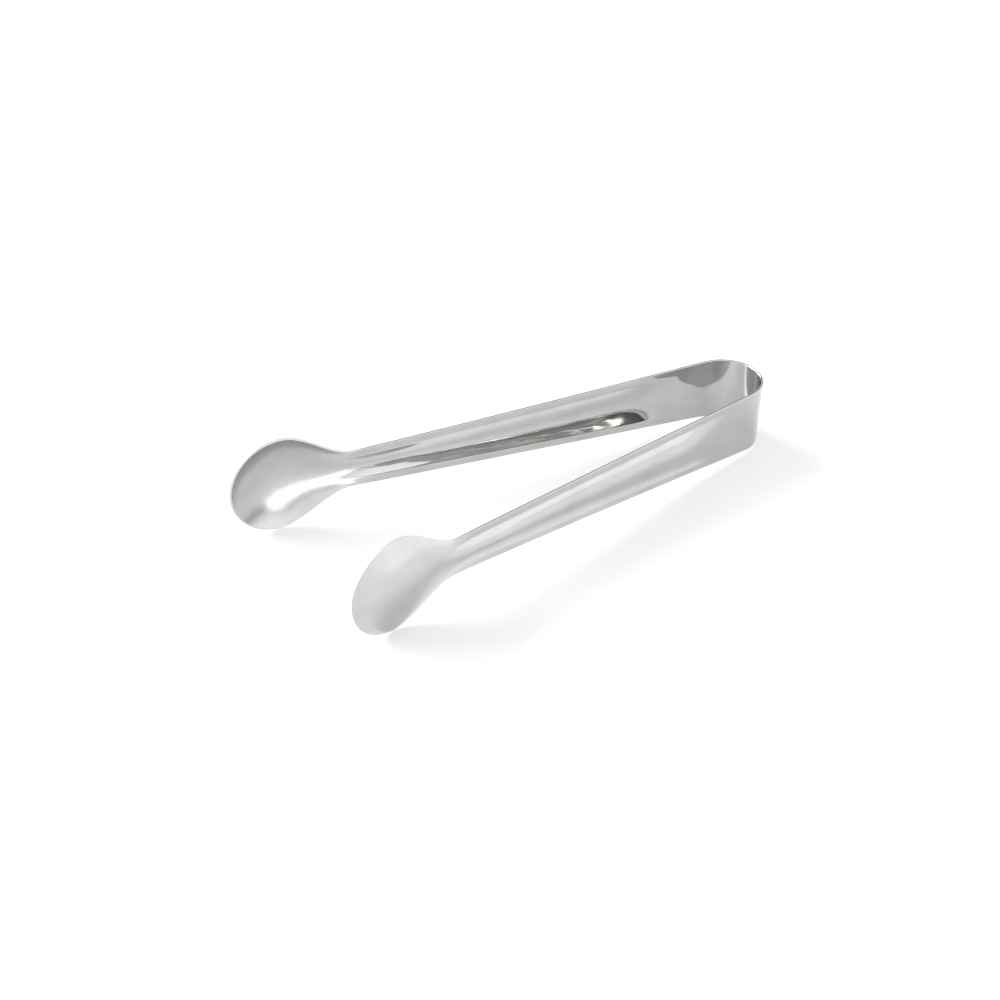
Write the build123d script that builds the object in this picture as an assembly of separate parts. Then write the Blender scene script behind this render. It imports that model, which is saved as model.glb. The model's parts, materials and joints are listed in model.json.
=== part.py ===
"""Ice tongs of the one-piece spring kind, for a bar's ice bucket.

The real tongs are one strip of stainless steel sheet: bent into a bow at one end, which is the spring,
pressed into a shallow channel along each arm, and dished into a scoop at each tip.
Each stretch of the strip is a node of its own. The arms turn on the bow about a line across the strip,
just past the end of the bow's arc, which stands in for the bending of the flat, springy stretch there.

The model is laid out about the strip's own middle plane, z = 0, with the bow's centre at x = y = 0,
the crown of the bow at +X and the scoops at -X. It is then tipped until it stands on the bow and on both
scoops, and moved so that the middle of its footprint is the origin, with the surface it lies on at z = 0.
"""
import os
from math import atan2, cos, degrees, exp, hypot, log1p, radians, sin, sqrt

from build123d import *

# Driving dimensions, in millimetres and degrees
LENGTH = 170.0  # crown of the bow to the tips of the scoops
SHEET = 0.8  # thickness of the steel
BOW_RADIUS = 11.5  # to the middle of the sheet
HALF_OPENING = 7.4  # angle of each arm to the middle plane, at rest
ARM_BEND = 0.5  # how far the middle of an arm's edges bows in
BOW_WIDTH = 20.8  # width of the strip at the crown
GRIP_WIDTH = 15.7  # width of the strip halfway down the arms
NECK_WIDTH = 12.4  # width of the strip just before the scoops
LIP = 2.2  # width of the margin between an arm's channel and each edge
FLANK = 0.45  # slope of the channel's flanks beside the lips, along the arms
FLANK_AT_BOW = 0.47  # and near the bow
FLANK_AT_NECK = 0.52  # and just before the scoops
CREST = 2.6  # roundness of the channel's crest near the scoops: less is nearer to a fold
CREST_AT_BOW = 10.0  # and near the bow
LIP_SLOPE = 0.07  # slope of the lips at the edges
LIP_CORNER = 0.06  # softness of the corner between a lip and the channel
CORNER_REACH = 0.3  # how far the corner's rounding reaches each way
SCOOP_RADIUS = 15.5  # of the scoop's rounded tip, seen face on
SCOOP_DEPTH = 5.5  # rim to bottom
HINGE_AFTER = 2.0  # from the end of the bow's arc to the line that an arm turns about
HINGE_CLEARANCE = 0.03  # between an arm's round nose and the bow's hollow end

# Where things happen, as distances from the crown
CHANNEL_START = 16.0  # the strip is flat before this
CHANNEL_FULL = 42.0  # the flanks have their whole slope from here on
CREST_FROM = 40.0  # the crest starts to tighten
GRIP_AT = 75.0  # where the grip's width is measured
DEEPEN_FROM = 104.0  # the flanks start to steepen towards the neck
CREST_FULL = 118.0  # the crest is at its tightest, and the flanks at their steepest
BOWL_AT = 122.0  # the bowl of the scoop starts to deepen
FADE_FROM = 124.0  # the channel starts to die out
NECK_AT = 128.0  # where the neck's width is measured
SHOULDER_AT = 130.5  # the strip starts to widen
SCOOP_AT = 132.0  # the arm ends and the scoop begins
FADE_TO = 140.0  # the channel is gone

# Worked out from them
LEAN = radians(HALF_OPENING)
ARM_DIRECTION = Vector(-cos(LEAN), sin(LEAN), 0)
OUTWARD = Vector(sin(LEAN), cos(LEAN), 0)
ARC_END = OUTWARD * BOW_RADIUS
ARC_END_AT = BOW_RADIUS - ARC_END.X
ARM_LENGTH = (LENGTH - ARC_END_AT) / cos(LEAN)
HINGE_POINT = ARC_END + ARM_DIRECTION * HINGE_AFTER
HINGE_AT = BOW_RADIUS - HINGE_POINT.X
SCOOP_CENTRE_AT = LENGTH - SCOOP_RADIUS


def rise(value, start, end):
    """0 before start, 1 after end, and a smooth climb between them."""
    step = min(max((value - start) / (end - start), 0.0), 1.0)
    return step * step * (3 - 2 * step)


def evenly(start, end, count):
    """Numbers from start to end, all the same step apart."""
    return [start + (end - start) * number / (count - 1) for number in range(count)]


def strip_half_width(at):
    """Half the strip's width at a distance from the crown: a parabola through its three widths."""
    to_grip = (GRIP_WIDTH - BOW_WIDTH) / 2 / GRIP_AT
    to_neck = (NECK_WIDTH - GRIP_WIDTH) / 2 / (NECK_AT - GRIP_AT)
    bend = (to_neck - to_grip) / NECK_AT
    return BOW_WIDTH / 2 + to_grip * at + bend * at * (at - GRIP_AT)


def half_width(at):
    """Half the width across the edges, from the crown to the widest part of the scoop."""
    strip = strip_half_width(at)
    return strip + (SCOOP_RADIUS - strip) * rise(at, SHOULDER_AT, SCOOP_CENTRE_AT)


def channel(at, height):
    """Stand-out of the arm's channel: two flanks with a rounded crest, between nearly flat lips."""
    near_bow = 1 - rise(at, CREST_FROM, CREST_FULL)
    crest = CREST + (CREST_AT_BOW - CREST) * near_bow
    near_neck = rise(at, DEEPEN_FROM, CREST_FULL)
    flank = FLANK + (FLANK_AT_BOW - FLANK) * near_bow + (FLANK_AT_NECK - FLANK) * near_neck
    half = strip_half_width(at) - LIP
    corner = hypot(half, crest)
    fold = flank * corner / half * (corner - hypot(height, crest))
    pressed = LIP_CORNER * log1p(exp(fold / LIP_CORNER))
    edge = strip_half_width(at)
    dished = LIP_SLOPE / 2 * (edge - height**2 / edge)
    strength = rise(at, CHANNEL_START, CHANNEL_FULL) * (1 - rise(at, FADE_FROM, FADE_TO))
    return (pressed + dished) * strength


def bowl(at, height):
    """Stand-out of the scoop and its shoulders: an arc from edge to edge."""
    depth = SCOOP_DEPTH * rise(at, BOWL_AT, SCOOP_CENTRE_AT)
    if depth == 0:
        return 0.0
    radius = (half_width(at) ** 2 + depth**2) / (2 * depth)
    return sqrt(radius**2 - height**2) - (radius - depth)


def stand_out(at, height):
    """How far the sheet's middle stands out from the plane of its edges."""
    return channel(at, height) + bowl(at, height)


def slope(at, height):
    """Slope of the section, evened out over the width of a lip's corner."""
    climb = stand_out(at, height + CORNER_REACH) - stand_out(at, height - CORNER_REACH)
    return climb / (2 * CORNER_REACH)


def face_points(at, heights, side):
    """Points on one face of the sheet: side 1 is its outer face, and -1 its inner face."""
    points = []
    for height in heights:
        lean = atan2(slope(at, height), 1)
        shift = side * SHEET / 2
        points.append((height - shift * sin(lean), stand_out(at, height) + shift * cos(lean)))
    return points


def arm_plane(at):
    """Plane across the right arm at a distance from the crown: local X is up, local Y is outward."""
    along = (at - ARC_END_AT) / cos(LEAN)
    share = along / ARM_LENGTH
    bend = 4 * ARM_BEND * share * (1 - share)
    return Plane(ARC_END + ARM_DIRECTION * along - OUTWARD * bend, x_dir=(0, 0, 1), z_dir=ARM_DIRECTION)


def half_section(at):
    """Upper half of the sheet's section across the right arm: the channel's flank and the lip."""
    edge = half_width(at)
    corner = strip_half_width(at) - LIP
    flank_heights = evenly(0, corner, 6)
    lip_heights = evenly(corner, edge, 4)
    # level at the crest, and at the flank's own slope beside the lip
    ends = [(1, 0), (1, slope(at, corner - CORNER_REACH))]
    flanks = [Spline(*face_points(at, flank_heights, side), tangents=ends) for side in (1, -1)]
    lips = [Spline(*face_points(at, lip_heights, side)) for side in (1, -1)]
    crest = Line(flanks[0] @ 0, flanks[1] @ 0)
    rim = Line(lips[0] @ 1, lips[1] @ 1)
    return arm_plane(at) * make_face([*flanks, *lips, crest, rim])


def lofted(stations):
    """The pressed sheet along the right arm, through sections at these distances from the crown."""
    upper = loft([half_section(at) for at in stations], ruled=True)
    return upper + mirror(upper, about=Plane.XY)


def hinge_barrel(radius, height):
    """Round bar along the line that the right arm turns about."""
    return Pos(HINGE_POINT) * Cylinder(radius, height)


def spring_bow():
    """The flat, curved end of the strip, with a hollow at each end that takes an arm's round nose."""
    outer_radius = BOW_RADIUS + SHEET / 2
    inner_radius = BOW_RADIUS - SHEET / 2
    sweep = 90 - HALF_OPENING
    flank = ARM_DIRECTION * HINGE_AFTER
    outer = CenterArc((0, 0), outer_radius, 0, sweep)
    inner = CenterArc((0, 0), inner_radius, 0, sweep)
    outline = [
        Line(inner @ 0, outer @ 0),
        outer,
        Line(outer @ 1, outer @ 1 + flank),
        Line(outer @ 1 + flank, inner @ 1 + flank),
        Line(inner @ 1 + flank, inner @ 1),
        inner,
    ]
    half_band = extrude(make_face(outline), BOW_WIDTH, both=True)
    half_band -= hinge_barrel(SHEET / 2 + HINGE_CLEARANCE, 2 * BOW_WIDTH)
    band = half_band + mirror(half_band, about=Plane.XZ)
    return band & bow_taper()


def bow_taper():
    """Wedge that trims the bow's two edges straight, wider at the crown than at the hinge lines."""
    crown_half = BOW_WIDTH / 2
    taper = (crown_half - strip_half_width(HINGE_AT)) / HINGE_AT
    front = crown_half + taper * BOW_RADIUS
    back = crown_half - taper * 2 * BOW_RADIUS
    corners = [(2 * BOW_RADIUS, front), (-BOW_RADIUS, back), (-BOW_RADIUS, -back), (2 * BOW_RADIUS, -front)]
    return extrude(Plane.XZ * Polygon(*corners, align=None), 2 * BOW_RADIUS, both=True)


def right_arm():
    """The arm from the hinge line to the neck: flat at first, then a channel, with a round nose."""
    stations = [
        HINGE_AT,
        *evenly(CHANNEL_START, CHANNEL_FULL, 8),
        *evenly(GRIP_AT, CREST_FULL, 4),
        *evenly(BOWL_AT, SCOOP_AT, 5),
    ]
    nose = hinge_barrel(SHEET / 2, 2 * half_width(HINGE_AT))
    return lofted(stations) + nose


def right_scoop():
    """The scoop: from the neck to its widest it is lofted, and its rounded tip is part of a ball."""
    shoulder = lofted(evenly(SCOOP_AT, SCOOP_CENTRE_AT, 12))
    widest = arm_plane(SCOOP_CENTRE_AT)
    tip = revolve(half_section(SCOOP_CENTRE_AT), Axis(widest.origin, -widest.y_dir), 180)
    return shoulder + tip


def resting_tilt():
    """Angle that brings the crown and the scoops down to one level, since the scoops are wider."""
    scoop_x = BOW_RADIUS - SCOOP_CENTRE_AT
    crown_x = BOW_RADIUS + SHEET / 2
    return degrees(atan2(SCOOP_RADIUS - BOW_WIDTH / 2, crown_x - scoop_x))


def build():
    """Every node in its final place, by name."""
    arm, scoop = right_arm(), right_scoop()
    nodes = {
        "spring_bow": spring_bow(),
        "right_arm": arm,
        "left_arm": mirror(arm, about=Plane.XZ),
        "right_scoop": scoop,
        "left_scoop": mirror(scoop, about=Plane.XZ),
    }
    tip_over = Rot(0, resting_tilt(), 0)
    box = Compound([tip_over * shape for shape in nodes.values()]).bounding_box()
    settle = Pos(-box.center().X, 0, -box.min.Z) * tip_over
    return {name: settle * shape for name, shape in nodes.items()}, settle


if __name__ == "__main__":
    os.makedirs("parts", exist_ok=True)
    nodes, settle = build()
    for name, shape in nodes.items():
        export_step(shape, f"parts/{name}.step")
    print("hinge line of the right arm:", (settle * Pos(HINGE_POINT)).position)
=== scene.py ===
"""Looks of the one-piece ice tongs: polished stainless steel, lying on a white studio table.

The steel is one strip, drawn as two closed halves that meet at the crown of the bow. Each half is
the whole thickness of the sheet, with rounded edges, and bends from the bow's body to its arm's body.
Shape sizes are in millimetres, in the strip's own frame: z = 0 is the strip's middle plane, the bow's
centre is at x = y = 0, the crown is at +X and the scoops at -X. strip_to_part() takes them to metres in the
frame of the part.
"""
import json
from math import atan2, cos, pi, radians, sin

import bpy
import numpy as np
from mathutils import Matrix, Vector


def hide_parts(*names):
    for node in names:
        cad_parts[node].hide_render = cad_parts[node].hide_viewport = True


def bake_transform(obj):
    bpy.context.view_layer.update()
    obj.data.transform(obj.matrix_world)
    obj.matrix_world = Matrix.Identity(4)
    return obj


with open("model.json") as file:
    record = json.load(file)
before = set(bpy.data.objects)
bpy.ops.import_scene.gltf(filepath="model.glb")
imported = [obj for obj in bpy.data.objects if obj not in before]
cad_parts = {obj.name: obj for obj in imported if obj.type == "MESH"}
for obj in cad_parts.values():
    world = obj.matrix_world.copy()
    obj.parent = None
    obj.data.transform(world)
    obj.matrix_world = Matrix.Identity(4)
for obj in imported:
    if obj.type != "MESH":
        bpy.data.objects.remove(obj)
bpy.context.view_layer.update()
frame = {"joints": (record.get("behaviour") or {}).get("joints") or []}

MM = 0.001  # metres in a millimetre

# The strip, as in the CAD model
LENGTH = 170.0
SHEET = 0.8
BOW_RADIUS = 11.5
HALF_OPENING = radians(7.4)
ARM_BEND = 0.5
BOW_WIDTH = 20.8
GRIP_WIDTH = 15.7
NECK_WIDTH = 12.4
GRIP_AT = 75.0
NECK_AT = 128.0
HINGE_AFTER = 2.0

# The pressed shape, also as in the CAD model
LIP = 2.2  # width of the margin between the channel and each edge
LIP_SLOPE = 0.07  # slope of the lips at the edges
LIP_CORNER = 0.06  # softness of the corner between a lip and the channel
FLANK = 0.45  # slope of the channel's flanks beside the lips, along the arms
FLANK_AT_BOW = 0.47  # and near the bow
FLANK_AT_NECK = 0.52  # and just before the scoops
CREST = 2.6  # roundness of the channel's crest near the scoops: less is nearer to a fold
CREST_AT_BOW = 10.0  # and near the bow
SCOOP_RADIUS = 15.5
SCOOP_DEPTH = 5.5
LEAST_DEPTH = 0.0001  # of the bowl, which keeps its radius finite where it begins

# Where things happen, as distances from the crown
CHANNEL_START = 16.0  # the strip is flat before this
CREST_FROM = 40.0  # the crest starts to tighten
CHANNEL_FULL = 42.0  # the flanks have their whole slope from here on
DEEPEN_FROM = 104.0  # the flanks start to steepen towards the neck
CREST_FULL = 118.0  # the crest is at its tightest, and the flanks at their steepest
BOWL_AT = 122.0  # the bowl of the scoop starts to deepen
FADE_FROM = 124.0  # the channel starts to die out
SHOULDER_AT = 130.5  # the strip starts to widen
FADE_TO = 140.0  # the channel is gone

# What only the drawn strip has
BOW_EASE = 8.0  # stretch over which the bow's curve runs out into the arm
EDGE_ROUND = 0.22  # radius that tumbling leaves on the sheet's cut edges

# How finely the strip is drawn
SPINE_POINTS = 20001
BOW_STRETCH = 26.0  # along the strip: the rows of points are close together before this
SHOULDER_STRETCH = 126.5  # from the crown: and again after this
BOW_ROWS = 84
ARM_ROWS = 100
SHOULDER_ROWS = 72
TIP_ROWS = 60
ACROSS = 64  # spaces between points from one edge to the other
CORNER_POINTS = 5  # points around each rounded corner of a cut edge
NORMAL_STEP = 0.01  # between the points that a normal is worked out from

# The steel's finish. Lengths are in metres, and spans along the strip are from the crown
BARE_STEEL = (0.52, 0.52, 0.515)
SMUDGED_STEEL = (0.48, 0.475, 0.465)
ARM_ROUGHNESS = 0.065
SCOOP_ROUGHNESS = 0.18  # outside, where the polishing wheel still reaches
HOLLOW_ROUGHNESS = 0.06  # on top of that, inside
SMUDGE_ROUGHNESS = 0.02
LINE_ROUGHNESS = (-0.01, 0.015)
RIM_ROUGHNESS = 0.12
DULL_SPAN = (0.122, 0.142)  # the polish dulls towards the scoop
PRESSED_SPAN = (0.030, 0.060)  # the pressing's faint waves begin
WAVES = (90, 350)  # in a metre, along the strip and across it
WAVE_HEIGHT = 0.00004
LINES = (60, 6000)  # polishing lines
LINE_HEIGHT = 0.0000003
SMUDGES = (90, 140)

# Stretches of a noise, whose values lie around 0.5, over which an effect grows
LINE_SPAN = (0.3, 0.7)
SMUDGE_SPAN = (0.45, 0.75)
TINT_SPAN = (0.35, 0.75)
GRAIN_SPAN = (0.3, 0.7)

# The table: white, and lit from within, which keeps its shadows pale
TABLE_LIGHT = (0.245, 0.245, 0.245)
TABLE_DARK = (0.235, 0.235, 0.235)
TABLE_GLOW = 0.57
TABLE_ROUGHNESS = (0.55, 0.65)
TABLE_GRAIN = (400, 400)
GRAIN_HEIGHT = 0.00002
TABLE_HALF = 3.0  # half its length and half its width

# The studio's light. Sides are unit vectors, spans are cosines from them, and strengths are radiances
WALLS = 1.3
BEYOND = 1.65  # beyond the bow
BEYOND_SIDE = (0.87, -0.2, 0.45)
BEYOND_SPAN = (-0.1, 0.9)
GAP = 0.35  # share of the light left in the gap behind the bow
GAP_SIDE = (0.5, 0.66, 0.56)
GAP_SPAN = (0.80, 0.97)
KEY = 23
KEY_SIZE = (6.4, 3.0)
KEY_DISTANCE = 6.0
KEY_AZIMUTH = radians(-144)
KEY_ELEVATION = radians(28.5)

# The camera, about the point that it looks at
CAMERA_AZIMUTH = radians(-37.1)
CAMERA_ELEVATION = radians(33.9)
CAMERA_ROLL = radians(2.76)
CAMERA_DISTANCE = 0.870
CAMERA_AIM = Vector((-0.0112, 0.0003, 0.0061))
CAMERA_LENS = 105.3


def smooth(value, start, end):
    """0 before start, 1 after end, and a smooth climb between them."""
    step = np.clip((value - start) / (end - start), 0, 1)
    return step * step * (3 - 2 * step)


class Spine:
    """The strip's middle line from the crown to a tip: its place, its heading and its outward side."""

    def __init__(self):
        arm = LENGTH / np.cos(HALF_OPENING)
        swing = 4 * ARM_BEND / arm
        turn = pi / 2 - HALF_OPENING + swing
        radius = BOW_RADIUS - BOW_EASE**2 / (24 * BOW_RADIUS)
        arc = turn * radius
        self.along = np.linspace(0, arm + arc, SPINE_POINTS)
        run_out = smooth(self.along, arc - BOW_EASE / 2, arc + BOW_EASE / 2)
        curvature = (1 - run_out) / radius - run_out * 2 * swing / arm
        step = self.along[1] - self.along[0]
        self.heading = np.concatenate([[0], np.cumsum((curvature[1:] + curvature[:-1]) / 2) * step])
        ahead = np.stack([-np.sin(self.heading), np.cos(self.heading)], 1)
        path = np.cumsum((ahead[1:] + ahead[:-1]) / 2 * step, 0)
        self.path = np.concatenate([[[0, 0]], path]) + [BOW_RADIUS, 0]
        self.reach = BOW_RADIUS - self.path[:, 0]

    def from_reach(self, reach):
        """Distance along the line at a distance from the crown, seen from the side."""
        return np.interp(reach, self.reach, self.along)

    def at(self, along):
        """Place and outward side, both in the strip's middle plane, at a distance along the line."""
        place = [np.interp(along, self.along, self.path[:, axis]) for axis in (0, 1)]
        heading = np.interp(along, self.along, self.heading)
        return np.stack(place, -1), np.stack([np.cos(heading), np.sin(heading)], -1)


SPINE = Spine()
SCOOP_CENTRE = LENGTH - SCOOP_RADIUS


def strip_half_width(reach):
    """Half the strip's width: a parabola through its widths at the crown, the grip and the neck."""
    to_grip = (GRIP_WIDTH - BOW_WIDTH) / 2 / GRIP_AT
    to_neck = (NECK_WIDTH - GRIP_WIDTH) / 2 / (NECK_AT - GRIP_AT)
    bend = (to_neck - to_grip) / NECK_AT
    return BOW_WIDTH / 2 + to_grip * reach + bend * reach * (reach - GRIP_AT)


def half_width(reach):
    """Half the width across the edges: the strip, its shoulders, and the scoop's round tip."""
    strip = strip_half_width(reach)
    shoulder = strip + (SCOOP_RADIUS - strip) * smooth(reach, SHOULDER_AT, SCOOP_CENTRE)
    tip = np.sqrt(np.maximum(SCOOP_RADIUS**2 - (reach - SCOOP_CENTRE) ** 2, 0))
    return np.where(reach < SCOOP_CENTRE, shoulder, tip)


def ball_depth(from_centre):
    """Depth of the scoop's ball-shaped bowl at a distance from its middle."""
    ball = (SCOOP_RADIUS**2 + SCOOP_DEPTH**2) / (2 * SCOOP_DEPTH)
    rim_drop = ball - SCOOP_DEPTH
    return np.sqrt(np.maximum(ball**2 - from_centre**2, rim_drop**2)) - rim_drop


def channel(reach, height):
    """Stand-out of the arm's channel: two flanks with a rounded crest, between flat lips."""
    near_bow = 1 - smooth(reach, CREST_FROM, CREST_FULL)
    crest = CREST + (CREST_AT_BOW - CREST) * near_bow
    near_neck = smooth(reach, DEEPEN_FROM, CREST_FULL)
    flank = FLANK + (FLANK_AT_BOW - FLANK) * near_bow + (FLANK_AT_NECK - FLANK) * near_neck
    half = strip_half_width(reach) - LIP
    corner = np.hypot(half, crest)
    fold = flank * corner / half * (corner - np.hypot(height, crest))
    pressed = LIP_CORNER * np.logaddexp(0, fold / LIP_CORNER)
    edge = strip_half_width(reach)
    dished = LIP_SLOPE / 2 * (edge - height**2 / edge)
    return (pressed + dished) * smooth(reach, CHANNEL_START, CHANNEL_FULL)


def bowl(reach, height):
    """Stand-out of the scoop's shoulders, an arc from edge to edge."""
    half = half_width(reach)
    depth = np.maximum(SCOOP_DEPTH * smooth(reach, BOWL_AT, SCOOP_CENTRE), LEAST_DEPTH)
    radius = (half**2 + depth**2) / (2 * depth)
    return np.sqrt(np.maximum(radius**2 - np.minimum(np.abs(height), half) ** 2, 0)) - (radius - depth)


def crown_of(reach, height):
    """How far the sheet stands out from the plane of its edges, at a height from the middle plane."""
    fade = 1 - smooth(reach, FADE_FROM, FADE_TO)
    shoulder = channel(reach, height) * fade + bowl(reach, height)
    return np.where(reach < SCOOP_CENTRE, shoulder, ball_depth(np.hypot(reach - SCOOP_CENTRE, height)))


def unit(vectors):
    """The same directions, with length 1."""
    return vectors / np.linalg.norm(vectors, axis=-1, keepdims=True)


def sheet_point(along, height):
    """Point on the sheet's middle surface, right half."""
    place, outward = SPINE.at(along)
    stand_out = crown_of(BOW_RADIUS - place[..., 0], height)[..., None]
    flat = place + outward * stand_out
    return np.concatenate([flat, height[..., None]], -1)


def sheet_normal(along, height):
    """Outward normal of the middle surface."""
    lengthwise = sheet_point(along + NORMAL_STEP, height) - sheet_point(along - NORMAL_STEP, height)
    upward = sheet_point(along, height + NORMAL_STEP) - sheet_point(along, height - NORMAL_STEP)
    return unit(np.cross(lengthwise, upward))


def stations():
    """Distances along the strip of the rows of points, close together where it curves."""
    bow = np.linspace(0, BOW_STRETCH, BOW_ROWS)
    arm = np.linspace(BOW_STRETCH, SPINE.from_reach(SHOULDER_STRETCH), ARM_ROWS)[1:]
    shoulder = SPINE.from_reach(np.linspace(SHOULDER_STRETCH, SCOOP_CENTRE, SHOULDER_ROWS))[1:]
    tip_angle = np.linspace(0, pi / 2, TIP_ROWS)[1:]
    tip = SPINE.from_reach(SCOOP_CENTRE + (SCOOP_RADIUS - EDGE_ROUND) * np.sin(tip_angle))
    return np.concatenate([bow, arm, shoulder, tip])


def middle_grid():
    """(along, height) of the points of the middle surface: rows from edge to edge, and the tip's one."""
    along = stations()
    reach = BOW_RADIUS - SPINE.at(along)[0][:, 0]
    inset = half_width(np.minimum(reach * LENGTH / (LENGTH - EDGE_ROUND), LENGTH)) - EDGE_ROUND
    shares = np.linspace(-1, 1, ACROSS + 1)
    heights = np.maximum(inset, 0)[:-1, None] * shares
    return np.append(np.repeat(along[:-1], ACROSS + 1), along[-1]), np.append(heights, 0.0)


def rim_profile():
    """Points around a rounded cut edge, and their normals, as (out, across) from the edge's middle."""
    corner = SHEET / 2 - EDGE_ROUND
    turns = np.linspace(0, pi / 2, CORNER_POINTS)
    upper_normals = np.stack([np.sin(turns), np.cos(turns)], 1)
    upper = upper_normals * EDGE_ROUND + [0, corner]
    lower, lower_normals = (half[::-1] * [1, -1] for half in (upper, upper_normals))
    return np.concatenate([upper, lower])[1:-1], np.concatenate([upper_normals, lower_normals])[1:-1]


def rounded_edge(edge, across):
    """Points and normals around the cut edge, for points along it and the sheet's normals there."""
    travel = np.gradient(edge, axis=0)
    travel[0] = (0, 1, 0)
    travel[-1] = (0, -1, 0)
    out = unit(np.cross(unit(travel), across))
    offsets, turned = rim_profile()
    points = edge[:, None] + out[:, None] * offsets[:, :1] + across[:, None] * offsets[:, 1:]
    return points, out[:, None] * turned[:, :1] + across[:, None] * turned[:, 1:]


def quads(grid):
    """Faces between neighbouring rows and columns of a grid of point numbers."""
    corners = [grid[:-1, :-1], grid[1:, :-1], grid[1:, 1:], grid[:-1, 1:]]
    return np.stack(corners, -1).reshape(-1, 4).tolist()


def half_strip_faces(index, tip, around):
    """Faces of the closed half: its open side, and the cap across the crown.

    index numbers the outer points by row and column, the inner ones come as many later as there are outer
    ones, and around numbers the points from the outer side to the inner side, for each point of the edge.
    """
    count = tip + 1
    fan = np.stack([index[-1, :-1], np.full(ACROSS, tip), index[-1, 1:]], 1).tolist()
    outer = quads(index) + fan
    inner = [[corner + count for corner in face[::-1]] for face in outer]
    cap = quads(np.stack([index[0], index[0] + count], 1))
    cap_ends = [around[0, ::-1].tolist(), around[-1].tolist()]
    return outer + inner + quads(around.T), cap + cap_ends


def half_strip_arrays():
    """The right half: points, normals, (along, height), shares, and faces with the cap's apart."""
    along, height = middle_grid()
    middle = sheet_point(along, height)
    normal = sheet_normal(along, height)
    count = len(middle)
    tip = count - 1
    index = np.arange(tip).reshape(-1, ACROSS + 1)

    # the edge runs along the bottom to the tip, and back along the top
    edge = np.concatenate([index[:, 0], [tip], index[::-1, -1]])
    rim_points, rim_normals = rounded_edge(middle[edge], normal[edge])
    rim = 2 * count + np.arange(rim_points.size // 3).reshape(len(edge), -1)
    around = np.concatenate([edge[:, None], rim, edge[:, None] + count], 1)

    half_sheet = normal * SHEET / 2
    points = np.concatenate([middle + half_sheet, middle - half_sheet, rim_points.reshape(-1, 3)])
    normals = np.concatenate([normal, -normal, rim_normals.reshape(-1, 3)])
    laid_out = np.stack([along, height], 1)
    uvs = np.concatenate([laid_out, laid_out, np.repeat(laid_out[edge], rim.shape[1], 0)])
    shares = {
        "rim": np.repeat([0.0, 0.0, 1.0], [count, count, rim.size]),
        "inside": np.repeat([0.0, 1.0, 0.0], [count, count, rim.size]),
    }
    return points, normals, uvs, shares, half_strip_faces(index, tip, around)


def strip_to_part():
    """From millimetres in the strip's frame to metres in the part's, by the right arm's hinge line."""
    hinge = next(joint for joint in frame["joints"] if joint["name"] == "right_arm_flex")
    tilt = atan2(hinge["axis"][0], hinge["axis"][2])
    here = Vector((sin(HALF_OPENING) * BOW_RADIUS - cos(HALF_OPENING) * HINGE_AFTER,
                   cos(HALF_OPENING) * BOW_RADIUS + sin(HALF_OPENING) * HINGE_AFTER, 0)) * MM
    turn = Matrix.Rotation(tilt, 4, "Y")
    return Matrix.Translation(Vector(hinge["pos_m"]) - turn @ here) @ turn @ Matrix.Scale(MM, 4)


def add_object(name, data):
    """A new object in the scene."""
    made = bpy.data.objects.new(name, data)
    bpy.context.scene.collection.objects.link(made)
    return made


def corner_vertices(mesh):
    """Number of the point at each corner of each face."""
    numbers = np.empty(len(mesh.loops), dtype=np.int32)
    mesh.loops.foreach_get("vertex_index", numbers)
    return numbers


def half_strip(name, side, arrays, placing):
    """One half of the strip as a mesh. side is 1 on the right, -1 on the left."""
    points, normals, uvs, shares, (open_faces, cap_faces) = arrays
    mirror = np.array([1, side, 1])
    mesh = bpy.data.meshes.new(name)
    mesh.from_pydata((points * mirror).tolist(), [], [face[::side] for face in open_faces + cap_faces])
    mesh.polygons.foreach_set("use_smooth", [True] * len(mesh.polygons))
    corners = corner_vertices(mesh)
    layer = mesh.uv_layers.new(name="laid_out")
    layer.data.foreach_set("uv", (uvs[corners] * MM).ravel().astype(np.float32))
    for share_name, values in shares.items():
        share = mesh.attributes.new(share_name, "FLOAT", "POINT")
        share.data.foreach_set("value", values.astype(np.float32))
    corner_normals = (normals * mirror)[corners]
    for polygon in mesh.polygons[len(open_faces):]:
        corner_normals[list(polygon.loop_indices)] = (0, -side, 0)
    mesh.transform(placing)
    mesh.update()
    turn = placing.to_3x3().normalized()
    mesh.normals_split_custom_set([turn @ Vector(normal) for normal in corner_normals])
    return add_object(name, mesh)


def link_math(tree, operation, first, second):
    """A Math node; first and second are sockets or numbers. Gives its output socket."""
    made = tree.nodes.new("ShaderNodeMath")
    made.operation = operation
    for place, value in enumerate((first, second)):
        if isinstance(value, (int, float)):
            made.inputs[place].default_value = value
        else:
            tree.links.new(value, made.inputs[place])
    return made.outputs[0]


def new_material(name):
    """A material, its node tree, and the shader in it."""
    material = bpy.data.materials.new(name)
    material.use_nodes = True
    return material, material.node_tree, material.node_tree.nodes["Principled BSDF"]


def share_of(tree, name):
    """The share of that name, 0 or 1, which half_strip gave each point."""
    made = tree.nodes.new("ShaderNodeAttribute")
    made.attribute_name = name
    return made.outputs["Fac"]


def stretched_noise(tree, where, blotches, detail):
    """Noise: blotches is how many there are in a metre, along X and along Y."""
    scale = tree.nodes.new("ShaderNodeVectorMath")
    scale.operation = "MULTIPLY"
    scale.inputs[1].default_value = (*blotches, 1)
    tree.links.new(where, scale.inputs[0])
    noise = tree.nodes.new("ShaderNodeTexNoise")
    noise.inputs["Scale"].default_value = 1.0
    noise.inputs["Detail"].default_value = detail
    tree.links.new(scale.outputs[0], noise.inputs["Vector"])
    return noise.outputs["Fac"]


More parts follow.
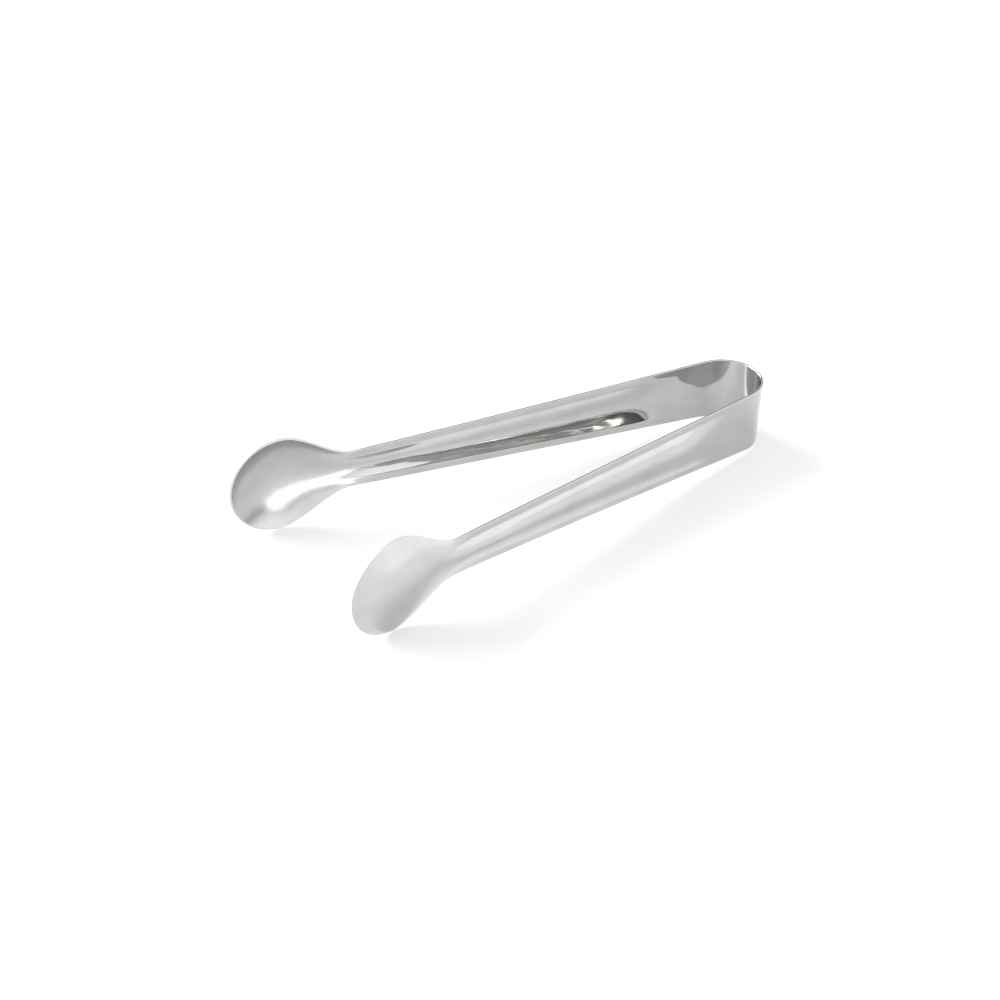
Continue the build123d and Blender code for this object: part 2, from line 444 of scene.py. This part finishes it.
def remap(tree, value, span, reach):
    """Goes smoothly from reach's first value to its last as value crosses the span, and no further."""
    made = tree.nodes.new("ShaderNodeMapRange")
    made.interpolation_type = "SMOOTHSTEP"
    for name, number in zip(("From Min", "From Max", "To Min", "To Max"), (*span, *reach)):
        made.inputs[name].default_value = number
    tree.links.new(value, made.inputs["Value"])
    return made.outputs["Result"]


def mixed(tree, share, first, second):
    """Colour that goes from the first to the second as share goes from 0 to 1."""
    made = tree.nodes.new("ShaderNodeMix")
    made.data_type = "RGBA"
    made.inputs["A"].default_value = (*first, 1)
    made.inputs["B"].default_value = (*second, 1)
    tree.links.new(share, made.inputs["Factor"])
    return made.outputs["Result"]


def bump(tree, height, distance, under=None):
    """Normal of a relief that is distance metres high, on top of the relief under it."""
    made = tree.nodes.new("ShaderNodeBump")
    made.inputs["Strength"].default_value = 1.0
    made.inputs["Distance"].default_value = distance
    tree.links.new(height, made.inputs["Height"])
    if under:
        tree.links.new(under, made.inputs["Normal"])
    return made.outputs["Normal"]


def steel_roughness(tree, along, lines, smudges):
    """Bright arms, duller scoops that are duller still inside, and dull cut edges."""
    dullness = remap(tree, along, DULL_SPAN, (ARM_ROUGHNESS, SCOOP_ROUGHNESS))
    hollow = remap(tree, along, DULL_SPAN, (0.0, HOLLOW_ROUGHNESS))
    extras = [
        link_math(tree, "MULTIPLY", hollow, share_of(tree, "inside")),
        link_math(tree, "MULTIPLY", share_of(tree, "rim"), RIM_ROUGHNESS),
        remap(tree, smudges, SMUDGE_SPAN, (0.0, SMUDGE_ROUGHNESS)),
        remap(tree, lines, LINE_SPAN, LINE_ROUGHNESS),
    ]
    for extra in extras:
        dullness = link_math(tree, "ADD", dullness, extra)
    return dullness


def steel_relief(tree, along, lines, waves):
    """Faint waves where the sheet was pressed, and polishing lines all over."""
    pressed = remap(tree, along, PRESSED_SPAN, (0.0, 1.0))
    wavy = bump(tree, link_math(tree, "MULTIPLY", waves, pressed), WAVE_HEIGHT)
    return bump(tree, lines, LINE_HEIGHT, wavy)


def polished_steel():
    """Stainless steel sheet, polished lengthwise: bright on the arms, a little duller in the scoops."""
    material, tree, shader = new_material("polished_steel")
    laid_out = tree.nodes.new("ShaderNodeUVMap")
    laid_out.uv_map = "laid_out"
    where = laid_out.outputs["UV"]
    apart = tree.nodes.new("ShaderNodeSeparateXYZ")
    tree.links.new(where, apart.inputs[0])
    along = apart.outputs["X"]

    lines = stretched_noise(tree, where, LINES, detail=4)
    waves = stretched_noise(tree, where, WAVES, detail=2)
    smudges = stretched_noise(tree, where, SMUDGES, detail=5)
    tint = remap(tree, smudges, TINT_SPAN, (0.0, 1.0))
    tree.links.new(mixed(tree, tint, BARE_STEEL, SMUDGED_STEEL), shader.inputs["Base Color"])
    tree.links.new(steel_roughness(tree, along, lines, smudges), shader.inputs["Roughness"])
    tree.links.new(steel_relief(tree, along, lines, waves), shader.inputs["Normal"])
    shader.inputs["Metallic"].default_value = 1.0
    return material


def white_table():
    """White laminate with a fine grain."""
    material, tree, shader = new_material("white_table")
    where = tree.nodes.new("ShaderNodeTexCoord").outputs["Object"]
    grain = stretched_noise(tree, where, TABLE_GRAIN, detail=5)
    tree.links.new(mixed(tree, grain, TABLE_LIGHT, TABLE_DARK), shader.inputs["Base Color"])
    tree.links.new(remap(tree, grain, GRAIN_SPAN, TABLE_ROUGHNESS), shader.inputs["Roughness"])
    tree.links.new(bump(tree, grain, GRAIN_HEIGHT), shader.inputs["Normal"])
    shader.inputs["Emission Color"].default_value = (1, 1, 1, 1)
    shader.inputs["Emission Strength"].default_value = TABLE_GLOW
    return material


def build_tongs():
    """Both halves of the strip, drawn open. The real strip bends between 2.5 and 23.5 mm from the crown as
    the tongs close.
    """
    arrays = half_strip_arrays()
    placing = strip_to_part()
    steel = polished_steel()
    for side, arm in ((1, "right"), (-1, "left")):
        piece = half_strip(f"{arm}_half", side, arrays, placing)
        piece.data.materials.append(steel)
        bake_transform(piece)
        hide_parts(f"{arm}_arm", f"{arm}_scoop", "spring_bow")


def build_stage():
    """The table that the tongs lie on."""
    mesh = bpy.data.meshes.new("table")
    corners = [(x * TABLE_HALF, y * TABLE_HALF, 0) for x, y in ((-1, -1), (1, -1), (1, 1), (-1, 1))]
    mesh.from_pydata(corners, [], [(0, 1, 2, 3)])
    mesh.materials.append(white_table())
    table = add_object("table", mesh)


def towards(azimuth, elevation):
    """Unit vector. Azimuth 0 is towards -Y, and a quarter turn is towards +X."""
    return Vector((sin(azimuth) * cos(elevation), -cos(azimuth) * cos(elevation), sin(elevation)))


def key_light():
    """Large soft box behind the scoops."""
    data = bpy.data.lights.new("key", "AREA")
    data.shape = "RECTANGLE"
    data.size, data.size_y = KEY_SIZE
    data.energy = KEY * pi * data.size * data.size_y
    light = add_object("key", data)
    away = towards(KEY_AZIMUTH, KEY_ELEVATION)
    light.location = away * KEY_DISTANCE
    light.rotation_euler = away.to_track_quat("Z", "Y").to_euler()


def facing(tree, direction, way):
    """How far a direction points the given way: 1 straight along it, 0 across it."""
    made = tree.nodes.new("ShaderNodeVectorMath")
    made.operation = "DOT_PRODUCT"
    made.inputs[1].default_value = way
    tree.links.new(direction, made.inputs[0])
    return made.outputs["Value"]


def light_studio():
    """White surroundings, brighter beyond the bow and dim in one gap, and the key light."""
    world = bpy.data.worlds.new("studio")
    bpy.context.scene.world = world
    world.use_nodes = True
    tree = world.node_tree
    direction = tree.nodes.new("ShaderNodeTexCoord").outputs["Generated"]
    walls = remap(tree, facing(tree, direction, BEYOND_SIDE), BEYOND_SPAN, (WALLS, BEYOND))
    gap = remap(tree, facing(tree, direction, GAP_SIDE), GAP_SPAN, (1.0, GAP))
    background = tree.nodes["Background"]
    background.inputs["Color"].default_value = (1, 1, 1, 1)
    tree.links.new(link_math(tree, "MULTIPLY", walls, gap), background.inputs["Strength"])
    key_light()


def aim_camera():
    """Camera above the near side, and colours without a film curve."""
    data = bpy.data.cameras.new("camera")
    data.lens = CAMERA_LENS
    camera = add_object("camera", data)
    back = towards(CAMERA_AZIMUTH, CAMERA_ELEVATION)
    camera.location = CAMERA_AIM + back * CAMERA_DISTANCE
    turn = back.to_track_quat("Z", "Y").to_matrix().to_4x4() @ Matrix.Rotation(CAMERA_ROLL, 4, "Z")
    camera.rotation_euler = turn.to_euler()
    bpy.context.scene.camera = camera
    bpy.context.scene.view_settings.view_transform = "Standard"


build_tongs()
build_stage()
light_studio()
aim_camera()
